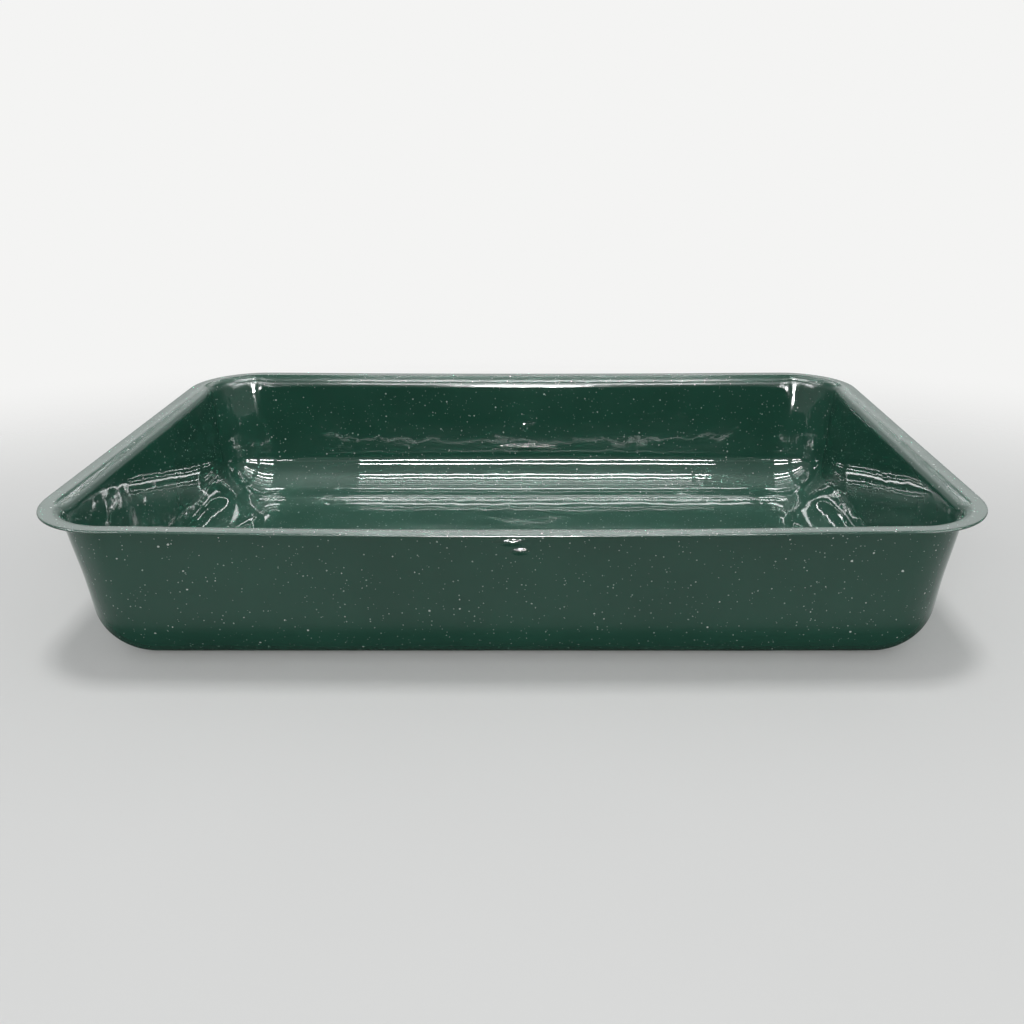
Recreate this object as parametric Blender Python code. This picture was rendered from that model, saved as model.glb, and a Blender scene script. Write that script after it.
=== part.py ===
"""Rectangular roasting pan of pressed steel, enamelled inside and outside.

The pan is one deep-drawn sheet with a flat flange, and two fired coats of enamel: one
covers the inside, the top of the flange and its trimmed edge, the other covers the
outside, the underside of the flange and the base.  Metres, +Z up.  The origin is the
middle of the face that the pan stands on, the long side runs along X.
"""

import math

import bmesh
import bpy

# Overall size, measured over the edge of the flange and down to the base.
LENGTH = 0.400
WIDTH = 0.2625
HEIGHT = 0.072

# Section through the wall, on the upper (inner) surface.
FLANGE_FLAT = 0.0050
RIM_RADIUS = 0.0062
WALL_TAPER = math.radians(4.8)
FLOOR_RADIUS = 0.0250

# Plan radii of the corners: at the flange's edge, and at the top and the foot of the wall.
FLANGE_CORNER = 0.0375
WALL_TOP_CORNER = 0.0255
WALL_FOOT_CORNER = 0.0275

# The long sides spring out and dip a little between their corners, as pressed sheet does.
RIM_BOW = 0.0016
RIM_DIP = 0.0011
DIP_DEPTH = 0.025

# Sheet, coats and the clearance kept between them.
STEEL = 0.0006
COAT = 0.00025
GAP = 0.0003
STACK = COAT + GAP + STEEL + GAP + COAT
EDGE_LAP = 0.0026

# Smoothness of the swept outline and of the section.
CORNER_STEPS = 7
LONG_SIDE_STEPS = 6
SHORT_SIDE_STEPS = 4
EDGE_STEPS = 4
RIM_STEPS = 4
WALL_STEPS = 2
FLOOR_STEPS = 6

# Colours are linear; the pan is a deep green with a cold-rolled steel core.
GREEN = (0.020, 0.078, 0.056, 1.0)
STEEL_GREY = (0.330, 0.335, 0.340, 1.0)


def clear_scene():
    for old in list(bpy.data.objects):
        bpy.data.objects.remove(old, do_unlink=True)


def material(name, colour, roughness, metallic):
    made = bpy.data.materials.new(name)
    made.use_nodes = True
    shader = made.node_tree.nodes["Principled BSDF"]
    shader.inputs["Base Color"].default_value = colour
    shader.inputs["Roughness"].default_value = roughness
    shader.inputs["Metallic"].default_value = metallic
    return made


def section(depth, flange_from):
    """Stations of the surface that lies `depth` under the upper one, from the flange inwards.

    A station is (inset from the flange's edge, height, plan radius of the corners).
    """
    lean = WALL_TAPER
    floor_height = STACK
    arc_end = math.pi / 2 - lean
    wall_top = (
        FLANGE_FLAT + RIM_RADIUS * math.cos(lean),
        HEIGHT - RIM_RADIUS + RIM_RADIUS * math.sin(lean),
    )
    foot_height = floor_height + FLOOR_RADIUS * (1 - math.sin(lean))
    foot_inset = wall_top[0] + (wall_top[1] - foot_height) * math.tan(lean)
    floor_centre = (
        foot_inset + FLOOR_RADIUS * math.cos(lean),
        floor_height + FLOOR_RADIUS,
    )

    def concentric(radius_above, inset_above, inset):
        return radius_above + inset_above - inset

    stations = [(flange_from, HEIGHT - depth, FLANGE_CORNER - flange_from)]
    for step in range(RIM_STEPS + 1):
        turn = arc_end * step / RIM_STEPS
        above = FLANGE_FLAT + RIM_RADIUS * math.sin(turn)
        inset = FLANGE_FLAT + (RIM_RADIUS - depth) * math.sin(turn)
        height = HEIGHT - RIM_RADIUS + (RIM_RADIUS - depth) * math.cos(turn)
        share = above / wall_top[0]
        radius = FLANGE_CORNER + (WALL_TOP_CORNER - FLANGE_CORNER) * share
        stations.append((inset, height, concentric(radius, above, inset)))
    for step in range(1, WALL_STEPS + 1):
        share = step / WALL_STEPS
        above = wall_top[0] + (foot_inset - wall_top[0]) * share
        inset = above - depth * math.cos(lean)
        height = wall_top[1] + (foot_height - wall_top[1]) * share - depth * math.sin(lean)
        radius = WALL_TOP_CORNER + (WALL_FOOT_CORNER - WALL_TOP_CORNER) * share
        stations.append((inset, height, concentric(radius, above, inset)))
    for step in range(1, FLOOR_STEPS + 1):
        turn = lean + (math.pi / 2 - lean) * step / FLOOR_STEPS
        above = floor_centre[0] - FLOOR_RADIUS * math.cos(turn)
        inset = floor_centre[0] - (FLOOR_RADIUS + depth) * math.cos(turn)
        height = floor_centre[1] - (FLOOR_RADIUS + depth) * math.sin(turn)
        radius = WALL_FOOT_CORNER - (above - foot_inset)
        stations.append((inset, height, concentric(radius, above, inset)))
    return stations


def rolled_edge(radius):
    """Half a turn round the flange's edge, from its top to its underside."""
    middle = STACK / 2
    stations = []
    for step in range(EDGE_STEPS + 1):
        turn = math.pi * step / EDGE_STEPS
        inset = middle - radius * math.sin(turn)
        height = HEIGHT - middle + radius * math.cos(turn)
        stations.append((inset, height, FLANGE_CORNER - inset))
    return stations


def outline(inset, height, corner):
    """Points of the rounded rectangle at one station, from the front left corner round."""
    half_x = LENGTH / 2 - inset
    half_y = WIDTH / 2 - inset
    bow = RIM_BOW * height / HEIGHT
    dip = RIM_DIP * max(0.0, 1 - (HEIGHT - height) / DIP_DEPTH)
    points = []

    def straight(start, end, steps, side, spring, drop):
        for step in range(steps):
            share = step / steps
            arch = 1 - (2 * share - 1) ** 2
            x = start[0] + (end[0] - start[0]) * share
            y = start[1] + (end[1] - start[1]) * share + side * spring * arch
            points.append((x, y, height - drop * arch))

    def arc(centre, first_turn):
        for step in range(CORNER_STEPS):
            turn = first_turn + math.pi / 2 * step / CORNER_STEPS
            x = centre[0] + corner * math.cos(turn)
            y = centre[1] + corner * math.sin(turn)
            points.append((x, y, height))

    x = half_x - corner
    y = half_y - corner
    straight((-x, -half_y), (x, -half_y), LONG_SIDE_STEPS, -1, bow, dip)
    arc((x, -y), -math.pi / 2)
    straight((half_x, -y), (half_x, y), SHORT_SIDE_STEPS, 0, 0.0, 0.0)
    arc((x, y), 0.0)
    straight((x, half_y), (-x, half_y), LONG_SIDE_STEPS, 1, bow, dip)
    arc((-x, y), math.pi / 2)
    straight((-half_x, y), (-half_x, -y), SHORT_SIDE_STEPS, 0, 0.0, 0.0)
    arc((-x, -y), math.pi)
    return points


def pressed_shell(name, stations, finish):
    """One closed shell: a floor face, extruded ring by ring out to the rim and back under."""
    mesh = bmesh.new()
    order = mesh.verts.layers.int.new("order")
    first = []
    for index, point in enumerate(outline(*stations[0])):
        corner = mesh.verts.new(point)
        corner[order] = index
        first.append(corner)
    edges = mesh.faces.new(first).edges[:]
    for station in stations[1:]:
        points = outline(*station)
        made = bmesh.ops.extrude_edge_only(mesh, edges=edges)["geom"]
        edges = [item for item in made if isinstance(item, bmesh.types.BMEdge)]
        ring = [item for item in made if isinstance(item, bmesh.types.BMVert)]
        for corner in ring:
            corner.co = points[corner[order]]
    bmesh.ops.contextual_create(mesh, geom=edges)
    bmesh.ops.recalc_face_normals(mesh, faces=mesh.faces)
    data = bpy.data.meshes.new(name)
    mesh.to_mesh(data)
    mesh.free()
    data.shade_smooth()
    data.set_sharp_from_angle(angle=math.radians(50))
    data.materials.append(finish)
    shell = bpy.data.objects.new(name, data)
    bpy.context.scene.collection.objects.link(shell)
    return shell


def make_inside_enamel(finish):
    """Inside coat: the floor, the walls and the flange, lapped round the trimmed edge."""
    face = section(0.0, STACK / 2)
    back = section(COAT, STACK / 2)
    radius = STACK / 2
    lap = [
        (EDGE_LAP, HEIGHT - STACK, FLANGE_CORNER - EDGE_LAP),
        (EDGE_LAP, HEIGHT - STACK + COAT, FLANGE_CORNER - EDGE_LAP),
    ]
    outer_turn = rolled_edge(radius)
    inner_turn = rolled_edge(radius - COAT)
    stations = face[:0:-1] + outer_turn + lap + inner_turn[::-1] + back[1:]
    return pressed_shell("inside_enamel", stations, finish)


def make_steel_shell(finish):
    """The deep-drawn sheet, with a blunt trimmed edge."""
    top = section(COAT + GAP, STACK / 2)
    bottom = section(COAT + GAP + STEEL, STACK / 2)
    stations = top[:0:-1] + rolled_edge(STEEL / 2) + bottom[1:]
    return pressed_shell("steel_shell", stations, finish)


def make_outside_enamel(finish):
    """Outside coat: it starts just inside the lap, under the flange, and is stood on."""
    start = EDGE_LAP + GAP
    back = section(STACK - COAT, start)
    face = section(STACK, start)
    return pressed_shell("outside_enamel", back[::-1] + face, finish)


clear_scene()
green_enamel = material("green_enamel", GREEN, 0.12, 0.0)
bare_steel = material("cold_rolled_steel", STEEL_GREY, 0.45, 1.0)
make_steel_shell(bare_steel)
make_inside_enamel(green_enamel)
make_outside_enamel(green_enamel)
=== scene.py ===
import math

import bmesh
import bpy
import mathutils
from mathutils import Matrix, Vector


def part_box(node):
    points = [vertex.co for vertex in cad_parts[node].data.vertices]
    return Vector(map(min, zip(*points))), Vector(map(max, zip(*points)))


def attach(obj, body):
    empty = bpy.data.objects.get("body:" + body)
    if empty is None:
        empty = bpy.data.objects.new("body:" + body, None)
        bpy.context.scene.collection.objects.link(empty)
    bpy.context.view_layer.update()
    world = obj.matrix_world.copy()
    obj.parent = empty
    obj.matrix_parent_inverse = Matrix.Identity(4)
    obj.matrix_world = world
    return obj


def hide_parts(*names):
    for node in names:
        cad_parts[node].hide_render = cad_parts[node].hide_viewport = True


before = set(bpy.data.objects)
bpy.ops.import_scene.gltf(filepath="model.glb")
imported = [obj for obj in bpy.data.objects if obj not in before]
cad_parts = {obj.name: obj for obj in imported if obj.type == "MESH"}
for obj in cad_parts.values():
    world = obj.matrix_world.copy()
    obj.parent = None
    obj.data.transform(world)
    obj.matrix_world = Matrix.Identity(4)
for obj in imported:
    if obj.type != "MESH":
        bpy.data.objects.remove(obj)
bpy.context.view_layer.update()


# ---- Steel sheet ---------------------------------------------------------------------
# One blank of 0.6 mm drawing steel, pressed in a single stroke: flat flange, rolled-over
# rim radius, leaning wall, wide bottom radius and a flat floor. The enamel hides it.

low_corner, high_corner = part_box("inside_enamel")
pan_length = high_corner.x - low_corner.x
rim_height = high_corner.z
pan_width = 0.2625
steel_thickness = 0.0006
coat_thickness = 0.00025
hairline = 0.00002
wall_thickness = steel_thickness + 2 * coat_thickness

flange_flat = 0.0050
rim_radius = 0.0062
wall_lean = math.radians(4.8)
bottom_radius = 0.0250
flange_corner = 0.0375
tangent = math.tan((math.pi / 2 - wall_lean) / 2)

long_side_bow = 0.0015
long_side_dip = 0.0011
sheet_ripple = 0.00022
ripple_spacing = 0.055
corner_flare = 0.0014
flare_start = 0.040
flare_fade = 12.0


def pick(piece, kind, wanted):
    """In edit mode, selects the vertices, edges or faces that pass the test."""
    modes = (kind == "VERT", kind == "EDGE", kind == "FACE")
    bpy.context.tool_settings.mesh_select_mode = modes
    bpy.ops.mesh.select_all(action="DESELECT")
    mesh = bmesh.from_edit_mesh(piece.data)
    for item in {"VERT": mesh.verts, "EDGE": mesh.edges, "FACE": mesh.faces}[kind]:
        if wanted(item):
            item.select_set(True)
    bmesh.update_edit_mesh(piece.data)


def level_with(height):
    """A test for a sharp edge that lies at this height."""
    def wanted(edge):
        if not edge.is_manifold or edge.calc_face_angle() < 0.5:
            return False
        return all(abs(end.co.z - height) < 1e-6 for end in edge.verts)
    return wanted


def apply_modifiers(piece):
    bpy.ops.object.select_all(action="DESELECT")
    bpy.context.view_layer.objects.active = piece
    piece.select_set(True)
    for modifier in list(piece.modifiers):
        bpy.ops.object.modifier_apply(modifier=modifier.name)


def pressed_sheet(name, depth, edge_inset):
    """The pan's form, `depth` under its inside face and trimmed `edge_inset` short of its edge."""
    top = rim_height - depth
    bottom = wall_thickness - depth
    rim_inset = flange_flat + (rim_radius - depth) * tangent
    drop = rim_height - wall_thickness
    floor_inset = rim_inset + drop * math.tan(wall_lean)
    narrowing = (
        (pan_length / 2 - floor_inset) / (pan_length / 2 - rim_inset),
        (pan_width / 2 - floor_inset) / (pan_width / 2 - rim_inset),
        1.0,
    )

    bpy.ops.object.select_all(action="DESELECT")
    bpy.ops.mesh.primitive_plane_add(size=1.0, location=(0.0, 0.0, top))
    sheet = bpy.context.object
    sheet.name = name
    sheet.data.name = name
    blank = (pan_length - 2 * edge_inset, pan_width - 2 * edge_inset, 1.0)
    bpy.ops.transform.resize(value=blank)
    bpy.ops.object.transform_apply(location=True, rotation=True, scale=True)

    # The blank: round corners, and straight sides cut fine enough to bend.
    bpy.ops.object.mode_set(mode="EDIT")
    bpy.ops.mesh.select_all(action="SELECT")
    bpy.ops.mesh.bevel(offset=flange_corner - edge_inset, affect="VERTICES", segments=16)
    bpy.ops.mesh.delete(type="ONLY_FACE")
    pick(sheet, "EDGE", lambda edge: edge.calc_length() > pan_width)
    bpy.ops.mesh.subdivide(number_cuts=23)
    pick(sheet, "EDGE", lambda edge: edge.calc_length() > pan_width / 2)
    bpy.ops.mesh.subdivide(number_cuts=15)
    bpy.ops.mesh.select_all(action="SELECT")
    bpy.ops.mesh.edge_face_add()

    # The draw: the flange stays, and the rest goes down and narrows to the floor.
    bpy.ops.mesh.inset(thickness=rim_inset - edge_inset, depth=0.0, use_even_offset=True)
    bpy.ops.mesh.extrude_region_move(TRANSFORM_OT_translate={"value": (0.0, 0.0, -drop)})
    bpy.ops.transform.resize(value=narrowing, center_override=(0.0, 0.0, 0.0))

    # The two radii of the tool.
    pick(sheet, "EDGE", level_with(top))
    rim_reach = (rim_radius - depth) * tangent
    bpy.ops.mesh.bevel(offset=rim_reach, segments=10, affect="EDGES", clamp_overlap=False)
    pick(sheet, "EDGE", level_with(bottom))
    floor_reach = (bottom_radius + depth) * tangent
    bpy.ops.mesh.bevel(offset=floor_reach, segments=24, affect="EDGES", clamp_overlap=False)

    # A quad floor, and rows up the wall.
    pick(sheet, "FACE", lambda face: len(face.verts) > 4)
    bpy.ops.mesh.delete(type="ONLY_FACE")
    pick(sheet, "EDGE", lambda edge: edge.is_boundary and edge.verts[0].co.z < bottom_radius)
    bpy.ops.mesh.fill_grid(span=40, offset=8)
    wall_rows = 6
    foot = bottom + bottom_radius
    for row in range(1, wall_rows):
        height = foot + (top - rim_radius - foot) * row / wall_rows
        bpy.ops.mesh.select_all(action="SELECT")
        bpy.ops.mesh.bisect(plane_co=(0.0, 0.0, height), plane_no=(0.0, 0.0, 1.0))
    bpy.ops.object.mode_set(mode="OBJECT")
    return sheet


def flare_corners(sheet):
    """The metal is tightest in the corners, where the top of the wall leans out a little more."""
    for vertex in sheet.data.vertices:
        corner = mathutils.Vector((
            math.copysign(pan_length / 2 - flange_corner, vertex.co.x),
            math.copysign(pan_width / 2 - flange_corner, vertex.co.y)))
        outward = vertex.co.xy - corner
        if outward.x * corner.x <= 0 or outward.y * corner.y <= 0:
            continue
        up_the_wall = (vertex.co.z - flare_start) / (rim_height - rim_radius - flare_start)
        to_the_flange = (flange_corner - flange_flat - outward.length) / rim_radius
        share = max(0.0, min(1.0, up_the_wall, to_the_flange))
        around = math.degrees(math.atan2(abs(outward.y), abs(outward.x)))
        fade = min(1.0, around / flare_fade, (90 - around) / flare_fade)
        moved = outward.normalized() * corner_flare * share * fade
        vertex.co.xy += moved


def spring_and_ripple(sheet):
    """Lets the long sides spring out and dip, and gives the drawn faces their slow ripple."""
    bpy.ops.object.select_all(action="DESELECT")
    centre = (0.0, 0.0, rim_height / 2)
    bpy.ops.object.add(type="LATTICE", location=centre)
    cage = bpy.context.object
    cage.scale = (pan_length, pan_width, rim_height)
    cage.data.points_u = 9
    cage.data.points_v = 2
    cage.data.points_w = 4
    cage.data.interpolation_type_u = "KEY_CARDINAL"
    cage.data.interpolation_type_v = "KEY_LINEAR"
    cage.data.interpolation_type_w = "KEY_LINEAR"
    straight = 1 - 2 * flange_corner / pan_length
    for point in cage.data.points:
        along = point.co.x * 2 / straight
        arch = max(0.0, 1 - along ** 2)
        rise = point.co.z + 0.5
        side = 1 if point.co.y > 0 else -1
        point.co_deform.y += side * arch * rise * long_side_bow / pan_width
        if rise > 0.99:
            point.co_deform.z -= arch * long_side_dip / rim_height
    bend = sheet.modifiers.new("spring", "LATTICE")
    bend.object = cage
    apply_modifiers(sheet)
    bpy.data.objects.remove(cage)

    smooth = sheet.modifiers.new("smooth", "SUBSURF")
    smooth.levels = 1
    smooth.render_levels = 1
    apply_modifiers(sheet)

    drawn = sheet.vertex_groups.new(name="drawn faces")
    for vertex in sheet.data.vertices:
        below = rim_height - rim_radius - vertex.co.z
        drawn.add([vertex.index], min(1.0, max(0.0, below / 0.02)), "REPLACE")
    noise = bpy.data.textures.new("sheet ripple", "CLOUDS")
    noise.noise_scale = ripple_spacing
    noise.noise_depth = 1
    ripple = sheet.modifiers.new("ripple", "DISPLACE")
    ripple.texture = noise
    ripple.texture_coords = "GLOBAL"
    ripple.direction = "NORMAL"
    ripple.vertex_group = drawn.name
    ripple.mid_level = 0.0
    ripple.strength = sheet_ripple
    apply_modifiers(sheet)
    sheet.vertex_groups.clear()


def thicken(sheet, thickness):
    """Gives the sheet its thickness on its underside."""
    solid = sheet.modifiers.new("thickness", "SOLIDIFY")
    solid.thickness = thickness
    solid.offset = -1.0
    solid.use_even_offset = True
    apply_modifiers(sheet)
    bpy.ops.object.shade_smooth_by_angle(angle=math.radians(40))


def to_linear(code):
    """A linear colour from an sRGB hex code such as 2F4A3C."""
    channels = []
    for start in (0, 2, 4):
        value = int(code[start:start + 2], 16) / 255
        if value <= 0.04045:
            channels.append(value / 12.92)
        else:
            channels.append(((value + 0.055) / 1.055) ** 2.4)
    return (*channels, 1.0)


def node(tree, kind, inputs=None, links=None, **settings):
    """Adds a shader node with its settings, its constant inputs and its incoming links."""
    made = tree.nodes.new(kind)
    for key, value in settings.items():
        setattr(made, key, value)
    for key, value in (inputs or {}).items():
        made.inputs[key].default_value = value
    for key, source in (links or {}).items():
        tree.links.new(source, made.inputs[key])
    return made


def new_material(name):
    finish = bpy.data.materials.new(name)
    finish.use_nodes = True
    finish.node_tree.nodes.clear()
    return finish, finish.node_tree


def cold_rolled_steel():
    """Cold-rolled drawing steel: a fine rolled grain along the blank, dull grey."""
    finish, tree = new_material("cold rolled steel")
    place = node(tree, "ShaderNodeTexCoord").outputs["Object"]
    along = node(tree, "ShaderNodeMapping", {"Scale": (60.0, 2500.0, 2500.0)}, {"Vector": place})
    grain = node(tree, "ShaderNodeTexNoise", {"Scale": 1.0, "Detail": 3.0},
                 {"Vector": along.outputs["Vector"]}).outputs["Fac"]
    colour = node(tree, "ShaderNodeMix", {"A": to_linear("8E9092"), "B": to_linear("A5A7A8")},
                  data_type="RGBA")
    tree.links.new(grain, colour.inputs[0])
    rough = node(tree, "ShaderNodeMapRange", {"To Min": 0.35, "To Max": 0.5}, {"Value": grain})
    shader = node(tree, "ShaderNodeBsdfPrincipled", {"Metallic": 1.0},
                  {"Roughness": rough.outputs["Result"]})
    tree.links.new(colour.outputs[2], shader.inputs["Base Color"])
    node(tree, "ShaderNodeOutputMaterial", None, {"Surface": shader.outputs["BSDF"]})
    return finish


steel_sheet = pressed_sheet("steel_sheet", coat_thickness, coat_thickness)
flare_corners(steel_sheet)
spring_and_ripple(steel_sheet)
thicken(steel_sheet, steel_thickness)
steel_sheet.data.materials.append(cold_rolled_steel())
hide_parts("steel_shell")
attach(steel_sheet, "root")


# ---- Inside coat ---------------------------------------------------------------------
# The enamel on the inside, over the flange and lapped round its trimmed edge. It is a
# glass fired on at about 800 degrees: very glossy, and faintly uneven like orange peel.

edge_lap = 0.0026


def roll_over_edge(sheet):
    """Carries the coat round the sheet's edge and a little way under the flange."""
    top = rim_height
    bpy.context.view_layer.objects.active = sheet
    bpy.ops.object.mode_set(mode="EDIT")
    pick(sheet, "EDGE", lambda edge: edge.is_boundary)
    down = {"value": (0.0, 0.0, -wall_thickness)}
    bpy.ops.mesh.extrude_region_move(TRANSFORM_OT_translate=down)
    under = (1 - 2 * edge_lap / pan_length, 1 - 2 * edge_lap / pan_width, 1.0)
    bpy.ops.mesh.extrude_region_move(TRANSFORM_OT_translate={"value": (0.0, 0.0, 0.0)})
    bpy.ops.transform.resize(value=under, center_override=(0.0, 0.0, 0.0))
    half = wall_thickness / 2 * 0.98
    pick(sheet, "EDGE", lambda edge: edge.is_manifold and edge.calc_face_angle() > 0.5
         and edge.verts[0].co.z > top - 2 * wall_thickness)
    bpy.ops.mesh.bevel(offset=half, segments=4, affect="EDGES", clamp_overlap=False)
    bpy.ops.mesh.select_all(action="SELECT")
    bpy.ops.mesh.normals_make_consistent(inside=False)
    bpy.ops.object.mode_set(mode="OBJECT")


rim_roughness = 0.20
satin_from = 0.0085
satin_full = 0.0050
inside_ior = 1.47
outside_ior = 1.43

# Where the pan rested in the furnace, the glass has gathered in beads and a low ridge in
# the middle of each long side: (centre, half sizes, height).
rack_marks = (
    ((0.0002, -0.1224, 0.0632), (0.0085, 0.0070, 0.0021), 0.0009),
    ((0.0036, -0.1220, 0.0590), (0.0050, 0.0070, 0.0020), 0.0009),
    ((0.0012, 0.1171, 0.0265), (0.0260, 0.0060, 0.0026), 0.0011),
    ((0.0040, 0.1195, 0.0440), (0.0050, 0.0060, 0.0045), 0.00018),
    ((0.0000, 0.1195, 0.0400), (0.0030, 0.0060, 0.0030), 0.00022),
)


def vitreous_enamel(name, worn):
    """Glossy green enamel with fired-in white specks.

    The glass reflects like window glass (IOR about 1.5). Its surface carries an orange peel of
    about 4 mm, dimples of about 9 mm and a slower flow of 17 to 50 mm, at most 0.3 mm high.
    The specks are 0.4 to 1.2 mm across, with fainter ones of 0.4 to 0.7 mm between them.
    """
    finish, tree = new_material(name)
    place = node(tree, "ShaderNodeTexCoord").outputs["Object"]

    # Specks: balls scattered through space, cut by the surface. They wobble a little.
    wobble = node(tree, "ShaderNodeTexNoise", {"Scale": 900.0, "Detail": 1.0}, {"Vector": place})
    shift = node(tree, "ShaderNodeVectorMath", {1: (0.5, 0.5, 0.5)},
                 {0: wobble.outputs["Color"]}, operation="SUBTRACT")
    small = node(tree, "ShaderNodeVectorMath", {"Scale": 0.0006},
                 {0: shift.outputs["Vector"]}, operation="SCALE")
    ragged = node(tree, "ShaderNodeVectorMath", None,
                  {0: place, 1: small.outputs["Vector"]}, operation="ADD").outputs["Vector"]

    def specks(per_metre, least, most, share):
        """A mask of dots: cell size 1/per_metre, radii in metres, `share` of cells filled."""
        cells = node(tree, "ShaderNodeTexVoronoi", {"Scale": per_metre, "Randomness": 1.0},
                     {"Vector": ragged})
        chance = node(tree, "ShaderNodeSeparateColor", None, {"Color": cells.outputs["Color"]})
        radius = node(tree, "ShaderNodeMapRange",
                      {"From Min": 1 - share, "To Min": 0.0, "To Max": most * per_metre},
                      {"Value": chance.outputs["Red"]})
        filled = node(tree, "ShaderNodeMath", {1: 1 - share},
                      {0: chance.outputs["Red"]}, operation="GREATER_THAN")
        base = node(tree, "ShaderNodeMath", {1: least * per_metre},
                    {0: filled.outputs[0]}, operation="MULTIPLY")
        reach = node(tree, "ShaderNodeMath", None,
                     {0: radius.outputs["Result"], 1: base.outputs[0]}, operation="MAXIMUM")
        inner = node(tree, "ShaderNodeMath", {1: 0.75}, {0: reach.outputs[0]},
                     operation="MULTIPLY")
        mask = node(tree, "ShaderNodeMapRange", {"To Min": 1.0, "To Max": 0.0},
                    {"Value": cells.outputs["Distance"], "From Min": inner.outputs[0],
                     "From Max": reach.outputs[0]}, interpolation_type="SMOOTHSTEP")
        return mask.outputs["Result"]

    big = specks(230.0, 0.00022, 0.00060, 0.90 if worn else 0.50)
    fine = specks(500.0, 0.00018, 0.00036, 1.0)

    # The green glass: slow drifts of depth, and a fine grain of undissolved pigment.
    drift = node(tree, "ShaderNodeTexNoise", {"Scale": 28.0, "Detail": 3.0}, {"Vector": place})
    green = node(tree, "ShaderNodeMix", {"A": to_linear("244A3D"), "B": to_linear("2E5A4B")},
                 {0: drift.outputs["Fac"]}, data_type="RGBA")
    faint = node(tree, "ShaderNodeMath", {1: 0.85}, {0: fine}, operation="MULTIPLY")
    with_fine = node(tree, "ShaderNodeMix", {"B": to_linear("AFC4B9")},
                     {0: faint.outputs[0], "A": green.outputs[2]}, data_type="RGBA")
    strong = node(tree, "ShaderNodeMath", {1: 0.85}, {0: big}, operation="MULTIPLY")
    colour = node(tree, "ShaderNodeMix", {"B": to_linear("DDE8E1")},
                  {0: strong.outputs[0], "A": with_fine.outputs[2]}, data_type="RGBA")

    # Relief: slow flow, orange peel, dimples, the specks standing a little proud, and the
    # marks of the furnace rack. The flow is drawn out along the short sides and upwards.
    drawn_out = node(tree, "ShaderNodeMapping", {"Scale": (60.0, 32.0, 20.0)},
                     {"Vector": place})
    flow = node(tree, "ShaderNodeTexNoise", {"Scale": 1.0, "Detail": 1.0},
                {"Vector": drawn_out.outputs["Vector"]})
    flowing = node(tree, "ShaderNodeBump", {"Strength": 1.0, "Distance": 0.00030},
                   {"Height": flow.outputs["Fac"]})
    peel = node(tree, "ShaderNodeTexNoise", {"Scale": 230.0, "Detail": 1.0}, {"Vector": place})
    peeled = node(tree, "ShaderNodeBump", {"Strength": 1.0, "Distance": 0.00002},
                  {"Height": peel.outputs["Fac"], "Normal": flowing.outputs["Normal"]})
    dimples = node(tree, "ShaderNodeTexNoise", {"Scale": 110.0, "Detail": 0.0},
                   {"Vector": place})
    dimpled = node(tree, "ShaderNodeBump", {"Strength": 1.0, "Distance": 0.00007},
                   {"Height": dimples.outputs["Fac"], "Normal": peeled.outputs["Normal"]})
    raised = node(tree, "ShaderNodeBump", {"Strength": 1.0, "Distance": 0.00002},
                  {"Height": big, "Normal": dimpled.outputs["Normal"]})
    for centre, half_size, proud in rack_marks:
        off = node(tree, "ShaderNodeVectorMath", {1: centre}, {0: ragged},
                   operation="SUBTRACT")
        scaled = node(tree, "ShaderNodeVectorMath", {1: half_size},
                      {0: off.outputs["Vector"]}, operation="DIVIDE")
        out = node(tree, "ShaderNodeVectorMath", None, {0: scaled.outputs["Vector"]},
                   operation="LENGTH")
        bead = node(tree, "ShaderNodeMapRange", {"To Min": 1.0, "To Max": 0.0},
                    {"Value": out.outputs["Value"]}, interpolation_type="SMOOTHSTEP")
        raised = node(tree, "ShaderNodeBump", {"Strength": 1.0, "Distance": proud},
                      {"Height": bead.outputs["Result"], "Normal": raised.outputs["Normal"]})

    smudge = node(tree, "ShaderNodeTexNoise", {"Scale": 18.0, "Detail": 4.0}, {"Vector": place})
    rough = node(tree, "ShaderNodeMapRange", {"From Min": 0.3, "From Max": 0.7,
                                              "To Min": 0.02, "To Max": 0.05},
                 {"Value": smudge.outputs["Fac"]})
    # The rim and its radius, where the glass is thinnest, are satin.
    level = node(tree, "ShaderNodeSeparateXYZ", None, {"Vector": place}).outputs["Z"]
    rim = node(tree, "ShaderNodeMapRange",
               {"From Min": rim_height - satin_from, "From Max": rim_height - satin_full,
                "To Max": rim_roughness}, {"Value": level})
    finish_of = node(tree, "ShaderNodeMath", None,
                     {0: rough.outputs["Result"], 1: rim.outputs["Result"]},
                     operation="MAXIMUM")
    shader = node(tree, "ShaderNodeBsdfPrincipled",
                  {"IOR": inside_ior if worn else outside_ior, "Coat IOR": 1.5,
                   "Coat Roughness": 0.4},
                  {"Base Color": colour.outputs[2], "Roughness": finish_of.outputs[0],
                   "Normal": raised.outputs["Normal"]})
    if worn:
        # Whisks and spoons have left a haze of scratches on the floor and its radius.
        foot = node(tree, "ShaderNodeMapRange",
                    {"From Min": 0.003, "From Max": 0.020, "To Min": 1.0, "To Max": 0.0},
                    {"Value": level})
        patches = node(tree, "ShaderNodeMapRange",
                       {"From Min": 0.3, "From Max": 0.7, "To Min": 0.25, "To Max": 0.45},
                       {"Value": smudge.outputs["Fac"]})
        haze = node(tree, "ShaderNodeMath", None,
                    {0: foot.outputs["Result"], 1: patches.outputs["Result"]},
                    operation="MULTIPLY")
        tree.links.new(haze.outputs[0], shader.inputs["Coat Weight"])
    node(tree, "ShaderNodeOutputMaterial", None, {"Surface": shader.outputs["BSDF"]})
    return finish


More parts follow.
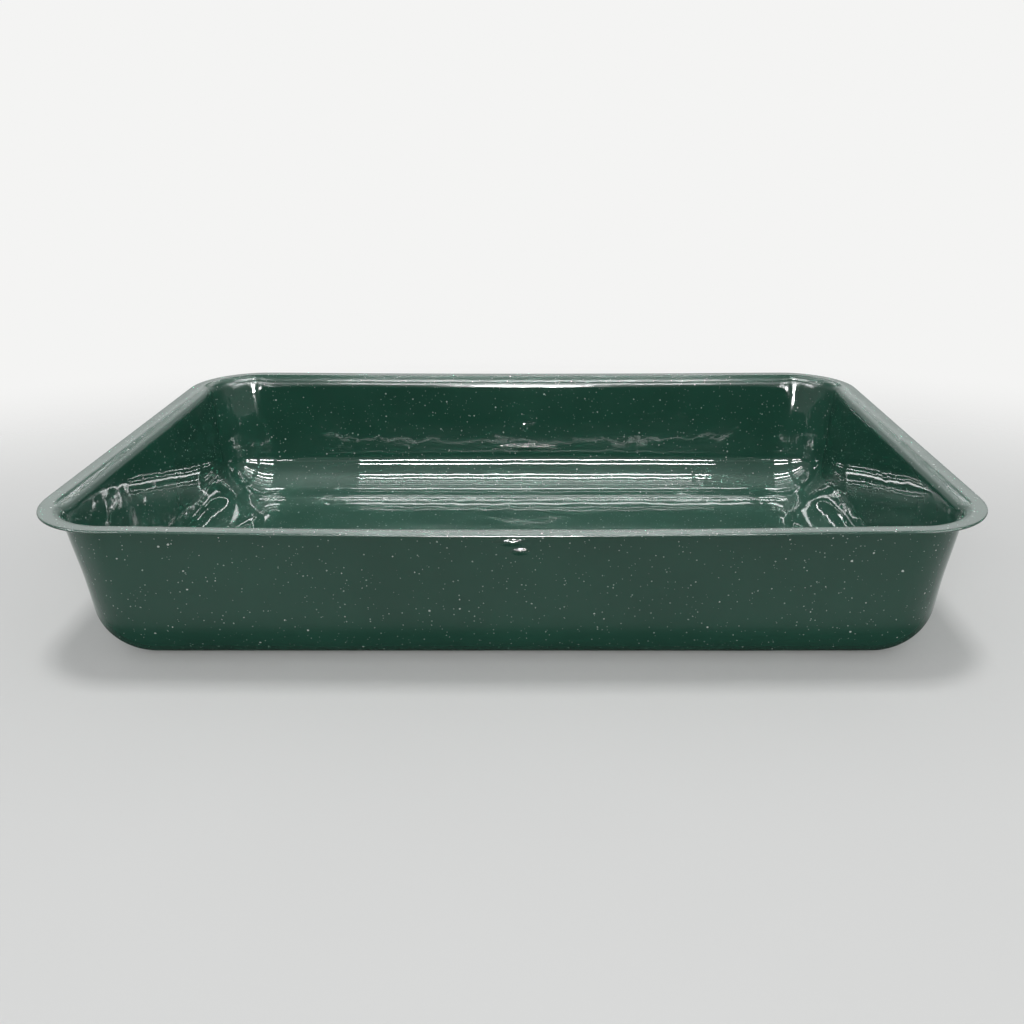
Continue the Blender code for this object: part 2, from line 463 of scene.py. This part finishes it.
inside_coat = pressed_sheet("inside_coat", 0.0, 0.0)
roll_over_edge(inside_coat)
flare_corners(inside_coat)
spring_and_ripple(inside_coat)
thicken(inside_coat, coat_thickness - hairline)
inside_coat.data.materials.append(vitreous_enamel("green speckled enamel, worn inside", worn=True))
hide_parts("inside_enamel")
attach(inside_coat, "root")


# ---- Outside coat --------------------------------------------------------------------
# The enamel on the outside, from the lap under the flange down over the base. It is the
# same glass; the pan stands on it.

outside_coat = pressed_sheet("outside_coat", wall_thickness - coat_thickness + hairline,
                             edge_lap + hairline)
flare_corners(outside_coat)
spring_and_ripple(outside_coat)
thicken(outside_coat, coat_thickness - hairline)
outside_coat.data.materials.append(vitreous_enamel("green speckled enamel, outside", worn=False))
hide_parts("outside_enamel")
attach(outside_coat, "root")


# ---- Studio --------------------------------------------------------------------------
# A pale paper floor that fades into a pale backdrop, a soft key light overhead, a front
# fill for the paper, and the room that the glass mirrors: bright walls and a dark ceiling
# with rows of tubes.

floor_radius = 3.0
fade_centre = (0.0, -0.5, 0.0)
fade_from = 0.55
fade_to = 1.0
bpy.ops.object.select_all(action="DESELECT")
bpy.ops.mesh.primitive_circle_add(vertices=96, radius=floor_radius, fill_type="NGON")
paper_floor = bpy.context.object
paper_floor.name = "paper_floor"
bpy.ops.object.mode_set(mode="EDIT")
bpy.ops.mesh.select_all(action="SELECT")
bpy.ops.mesh.inset(thickness=floor_radius / 2)
bpy.ops.object.mode_set(mode="OBJECT")
paper, tree = new_material("matt paper")
place = node(tree, "ShaderNodeTexCoord").outputs["Object"]
mottle = node(tree, "ShaderNodeTexNoise", {"Scale": 6.0, "Detail": 2.0}, {"Vector": place})
tone = node(tree, "ShaderNodeMix", {"A": to_linear("D4D4D3"), "B": to_linear("D8D8D7")},
            {0: mottle.outputs["Fac"]}, data_type="RGBA")
# Painted shadow: in the pan's reflections only, the paper close round its foot is painted dark, a
# painted contact shadow that no lamp casts.
painted_shadow_half_size = (0.170, 0.108, 0.0)
apart = node(tree, "ShaderNodeVectorMath", None, {0: place}, operation="ABSOLUTE")
beyond = node(tree, "ShaderNodeVectorMath", {1: painted_shadow_half_size},
              {0: apart.outputs["Vector"]}, operation="SUBTRACT")
outside = node(tree, "ShaderNodeVectorMath", {1: (0.0, 0.0, 0.0)},
               {0: beyond.outputs["Vector"]}, operation="MAXIMUM")
clear = node(tree, "ShaderNodeVectorMath", None, {0: outside.outputs["Vector"]},
             operation="LENGTH")
shade = node(tree, "ShaderNodeMapRange", {"From Min": 0.010, "From Max": 0.052,
                                          "To Min": 0.92, "To Max": 0.0},
             {"Value": clear.outputs["Value"]}, interpolation_type="SMOOTHSTEP")
# The painted shadow applies to glossy rays only; the camera and the lamps see the plain paper.
mirrored = node(tree, "ShaderNodeLightPath").outputs["Is Glossy Ray"]
painted_shadow_in_mirror = node(tree, "ShaderNodeMath", None, {0: shade.outputs["Result"], 1: mirrored},
              operation="MULTIPLY")
paper_with_painted_shadow = node(tree, "ShaderNodeMix", {"B": (0.0, 0.0, 0.0, 1.0)},
             {0: painted_shadow_in_mirror.outputs[0], "A": tone.outputs[2]}, data_type="RGBA")
matt = node(tree, "ShaderNodeBsdfDiffuse", None, {"Color": paper_with_painted_shadow.outputs[2]})
open_air = node(tree, "ShaderNodeBsdfTransparent")
distance = node(tree, "ShaderNodeVectorMath", {1: fade_centre}, {0: place},
                operation="DISTANCE")
fade = node(tree, "ShaderNodeMapRange", {"From Min": fade_from, "From Max": fade_to},
            {"Value": distance.outputs["Value"]}, interpolation_type="SMOOTHSTEP")
shader = node(tree, "ShaderNodeMixShader", None,
              {0: fade.outputs["Result"], 1: matt.outputs["BSDF"], 2: open_air.outputs["BSDF"]})
node(tree, "ShaderNodeOutputMaterial", None, {"Surface": shader.outputs["Shader"]})
paper_floor.data.materials.append(paper)


def lamp(name, centre, target, size, radiance):
    """A rectangular lamp that the camera doesn't see; radiance 1 is matt white paper."""
    light = bpy.data.lights.new(name, "AREA")
    light.shape = "RECTANGLE"
    light.size = size[0]
    light.size_y = size[1]
    light.energy = radiance * math.pi * size[0] * size[1]
    holder = bpy.data.objects.new(name, light)
    bpy.context.scene.collection.objects.link(holder)
    holder.location = centre
    aim = mathutils.Vector(target) - mathutils.Vector(centre)
    holder.rotation_euler = aim.to_track_quat("-Z", "Y").to_euler()
    holder.visible_camera = False
    return holder


key_centre = (0.0, -0.2, 1.6)
key_size = (0.30, 0.30)
pan_only = bpy.data.collections.new("pan only")
for piece in (steel_sheet, inside_coat, outside_coat):
    pan_only.objects.link(piece)
key = lamp("key", key_centre, (0.0, 0.0, 0.0), key_size, 35.0)
key.visible_glossy = False
key.light_linking.receiver_collection = pan_only
floor_only = bpy.data.collections.new("floor only")
floor_only.objects.link(paper_floor)
floor_key = lamp("floor key", key_centre, (0.0, 0.0, 0.0), key_size, 28.0)
floor_key.visible_glossy = False
floor_key.light_linking.receiver_collection = floor_only
fill = lamp("fill", (0.0, -2.4, 1.0), (0.0, -0.1, 0.0), (2.4, 1.2), 5.1)
fill.visible_glossy = False
fill.light_linking.receiver_collection = floor_only

# Ceiling tubes: (elevation above the front horizon, as the back wall sees them; radiance)
tubes = ((21.3, 260.0), (31.9, 280.0), (62.1, 260.0), (71.8, 180.0),
         (81.0, 45.0), (86.0, 18.0), (92.0, 35.0), (99.0, 14.0), (108.0, 35.0),
         (116.0, 12.0), (122.0, 35.0), (129.0, 12.0), (135.0, 60.0))
tube_length = 0.46
tube_width = 0.007
side_tube_length = 0.90
tube_spacing = 0.83
tube_distance = 0.70
most_side_elevation = 95.0
aim_along = 0.112
aim_above = 0.010
for index, (elevation, radiance) in enumerate(tubes):
    turn = math.radians(elevation)
    along = aim_along - tube_distance * math.cos(turn)
    above = aim_above + tube_distance * math.sin(turn)
    for place_in_row, beside, length in (("left", -tube_spacing, side_tube_length),
                                         ("middle", 0.0, tube_length),
                                         ("right", tube_spacing, side_tube_length)):
        if beside and elevation > most_side_elevation:
            continue
        tube = lamp(f"tube_{index}_{place_in_row}", (beside, along, above),
                    (beside, aim_along, aim_above), (length, tube_width), radiance)
        tube.visible_diffuse = False

# A weak softbox over the far side, and a small lamp in front that the beads catch.
softbox = lamp("softbox", (0.0, 0.36, 0.76), (0.0, 0.36, 0.0), (0.46, 0.66), 0.3)
softbox.visible_diffuse = False
torch = lamp("torch", (-0.012, -0.50, 0.115), (0.0, 0.11, 0.02), (0.10, 0.020), 600.0)
torch.visible_diffuse = False

world = bpy.data.worlds.new("studio air")
world.use_nodes = True
world.cycles.sampling_method = "NONE"
tree = world.node_tree
tree.nodes.clear()
direction = node(tree, "ShaderNodeTexCoord").outputs["Generated"]
height = node(tree, "ShaderNodeSeparateXYZ", None, {"Vector": direction}).outputs["Z"]


def room_profile(stops_wanted, brightest):
    """The room's radiance from the horizon to the zenith, from (elevation, radiance) pairs."""
    profile = node(tree, "ShaderNodeValToRGB", None, {"Fac": height})
    stops = profile.color_ramp.elements
    while len(stops) < len(stops_wanted):
        stops.new(1.0)
    for stop, (elevation, radiance) in zip(stops, stops_wanted):
        stop.position = math.sin(math.radians(elevation))
        stop.color = (radiance / brightest,) * 3 + (1.0,)
    return node(tree, "ShaderNodeBackground", {"Strength": brightest},
                {"Color": profile.outputs["Color"]}).outputs["Background"]


dark = 0.2
window = 2.5
far_wall = [(0.0, 0.75), (16.0, 0.9), (19.0, window), (24.0, window), (28.0, dark),
            (60.0, dark), (75.0, 0.5)]
near_walls = [(0.0, 0.6), (14.0, 0.6), (18.0, 0.3), (20.0, 0.8), (23.0, 0.8), (24.0, 0.3),
              (60.0, 0.3), (75.0, 0.5)]
level = node(tree, "ShaderNodeVectorMath", {1: (1.0, 1.0, 0.0)}, {0: direction},
             operation="MULTIPLY")
compass = node(tree, "ShaderNodeVectorMath", None, {0: level.outputs["Vector"]},
               operation="NORMALIZE")
north = node(tree, "ShaderNodeSeparateXYZ", None, {"Vector": compass.outputs["Vector"]})
turned = node(tree, "ShaderNodeMapRange", {"From Min": 0.50, "From Max": 0.75},
              {"Value": north.outputs["Y"]}, interpolation_type="SMOOTHSTEP")
mirrored = node(tree, "ShaderNodeMixShader", None,
                {0: turned.outputs["Result"], 1: room_profile(near_walls, 1.0),
                 2: room_profile(far_wall, window)})

# Lamps that show only at a second or third mirroring, such as the floor's image of its
# radius. Each is a band of directions: a strip across overhead, a fainter one behind it, and
# on each side a strip from front to back that a cross strip closes in front.
ray = node(tree, "ShaderNodeLightPath")
axes = node(tree, "ShaderNodeSeparateXYZ", None, {"Vector": direction})
backward = node(tree, "ShaderNodeMath", {1: -1.0}, {0: axes.outputs["Y"]},
                operation="MULTIPLY")
over = node(tree, "ShaderNodeMath", None, {0: axes.outputs["Z"], 1: backward.outputs[0]},
            operation="ARCTAN2").outputs[0]
beside = node(tree, "ShaderNodeMath", None, {0: axes.outputs["X"]},
              operation="ABSOLUTE").outputs[0]


def band(value, middle, half_width):
    """1 where the value is within half_width of the middle, and 0 elsewhere."""
    return node(tree, "ShaderNodeMath", {1: middle, 2: half_width}, {0: value},
                operation="COMPARE").outputs[0]


def both(first, second, operation="MULTIPLY"):
    """Two masks as one: where both hold or, with MAXIMUM, where either does."""
    return node(tree, "ShaderNodeMath", None, {0: first, 1: second},
                operation=operation).outputs[0]


mirrorings = ray.outputs["Glossy Depth"]
twice = node(tree, "ShaderNodeMath", {1: 1.5}, {0: mirrorings},
             operation="GREATER_THAN").outputs[0]
thrice = band(mirrorings, 3.0, 0.5)
overhead = both(band(over, math.radians(86.5), math.radians(3.0)), band(beside, 0.0, 0.20))
behind_it = both(both(band(over, math.radians(81.5), math.radians(1.5)),
                      band(beside, 0.0, 0.22)), thrice)
side_strip = both(band(beside, 0.455, 0.0035),
                  band(over, math.radians(76.0), math.radians(34.0)))
cross_strip = both(band(over, math.radians(42.0), math.radians(2.4)),
                   band(beside, 0.41, 0.08))
strips = []
for mask, radiance in ((overhead, 75.0), (behind_it, 600.0),
                       (both(side_strip, cross_strip, "MAXIMUM"), 130.0)):
    strips.append(node(tree, "ShaderNodeMath", {1: radiance}, {0: mask},
                       operation="MULTIPLY").outputs[0])
brightest_strip = both(both(strips[0], strips[1], "MAXIMUM"), strips[2], "MAXIMUM")
strip = node(tree, "ShaderNodeBackground", None, {"Strength": both(brightest_strip, twice)})
room = node(tree, "ShaderNodeAddShader", None,
            {0: mirrored.outputs["Shader"], 1: strip.outputs["Background"]})

# The camera sees a pale backdrop, matt surfaces get an even filling light, and the glass
# mirrors the room.
seen = node(tree, "ShaderNodeBackground", {"Color": to_linear("F4F4F3"), "Strength": 1.0})
filling = node(tree, "ShaderNodeBackground", {"Color": to_linear("FCFEFF"), "Strength": 0.44})
unseen = node(tree, "ShaderNodeMixShader", None,
              {0: ray.outputs["Is Glossy Ray"], 1: filling.outputs["Background"],
               2: room.outputs["Shader"]})
air = node(tree, "ShaderNodeMixShader", None,
           {0: ray.outputs["Is Camera Ray"], 1: unseen.outputs["Shader"],
            2: seen.outputs["Background"]})
node(tree, "ShaderNodeOutputWorld", None, {"Surface": air.outputs["Shader"]})
bpy.context.scene.world = world
bpy.context.scene.view_settings.view_transform = "Standard"


# ---- Camera --------------------------------------------------------------------------
# In front of a long side, a little right of the middle, looking 22 degrees down.

view = bpy.data.cameras.new("camera")
view.lens = 35.0
view.sensor_width = 36.0
view.shift_x = -0.0335
camera = bpy.data.objects.new("camera", view)
camera.location = (0.0141, -0.4916, 0.2231)
camera.rotation_euler = (math.radians(90 - 21.625), 0.0, 0.0)
bpy.context.scene.collection.objects.link(camera)
bpy.context.scene.camera = camera
